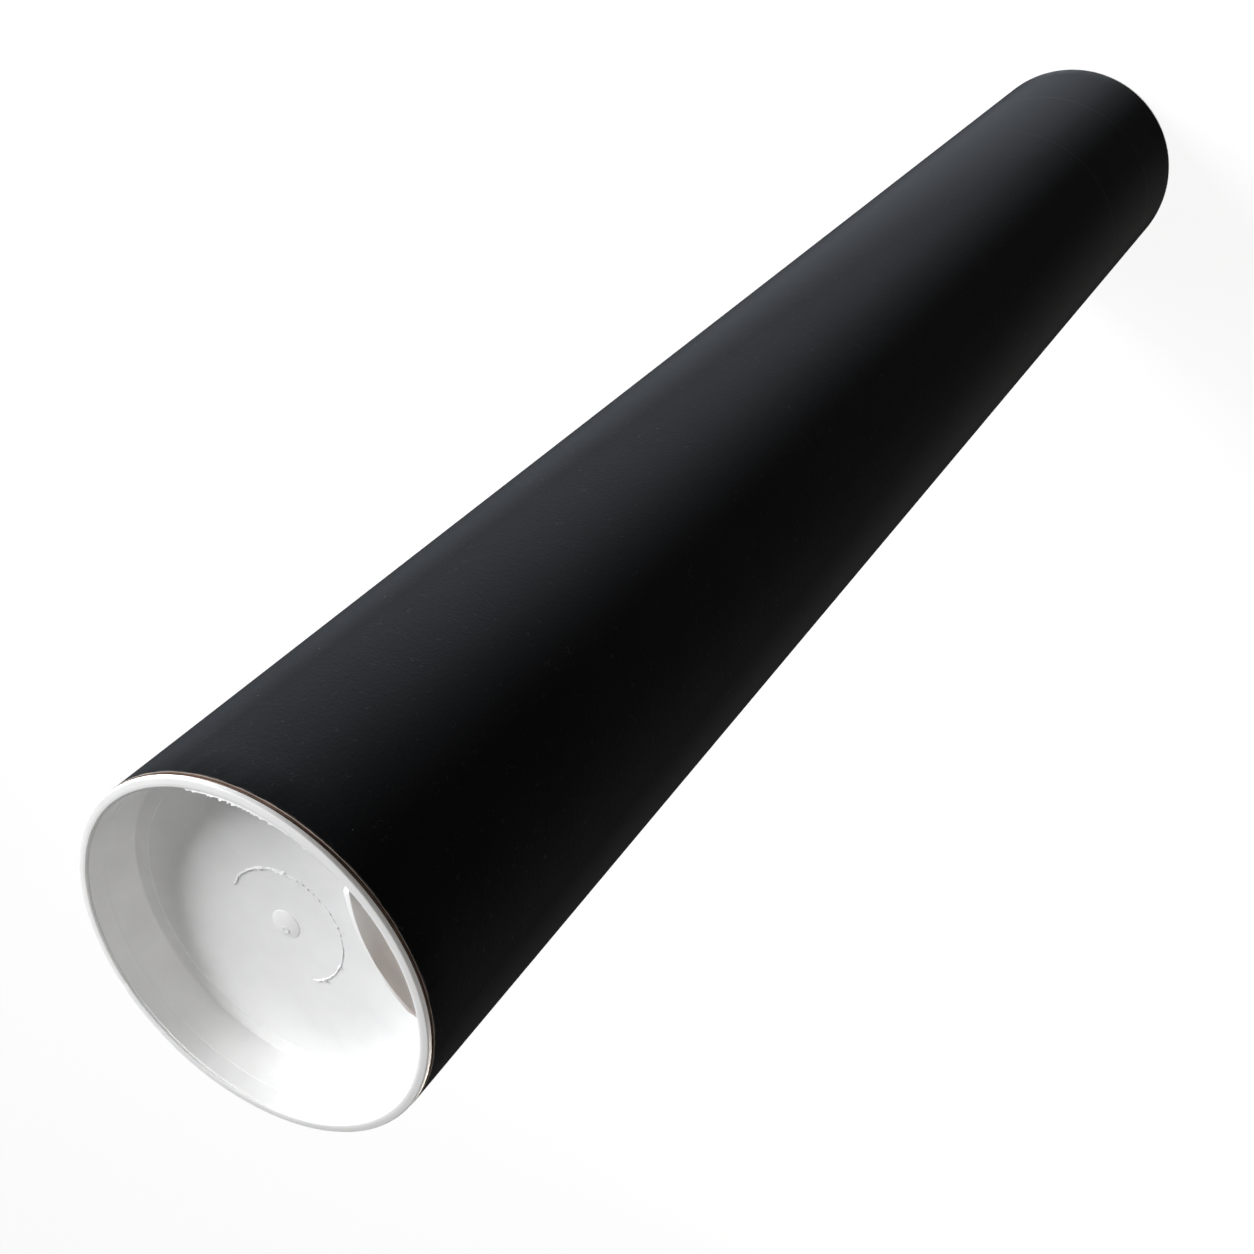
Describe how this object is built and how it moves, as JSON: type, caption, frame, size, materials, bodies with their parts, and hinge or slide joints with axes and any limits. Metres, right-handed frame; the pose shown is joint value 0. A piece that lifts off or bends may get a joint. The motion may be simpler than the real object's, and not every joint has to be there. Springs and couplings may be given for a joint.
{
  "type": "cardboard tube",
  "caption": "Black paper-faced cardboard mailing tube, closed at both ends by white moulded push-in plugs with a recessed cup and a pull strap.",
  "frame": {"origin": "centre of the lower plug's flange face, on the surface that the tube stands on", "axes": "+Z along the tube's axis, from the plug on the floor to the plug that the picture shows; +X from the axis towards the middle of the pull straps"},
  "size_m": [0.079, 0.079, 0.5331],
  "materials": {
    "black_card": "matte black paper over spiral-wound board",
    "white_plastic": "satin, slightly translucent moulded polyethylene"
  },
  "bodies": {
    "tube": {"tube": "black_card"},
    "top_cap": {"top_cap": "white_plastic"},
    "bottom_cap": {"bottom_cap": "white_plastic"}
  },
  "joints": [
    {"name": "top_cap_pull", "type": "slide", "parent": "tube", "child": "top_cap", "axis": [0, 0, 1], "range_m": [-0.0006, 0.03]},
    {"name": "bottom_cap_pull", "type": "slide", "parent": "tube", "child": "bottom_cap", "axis": [0, 0, -1], "range_m": [0, 0.03]}
  ]
}
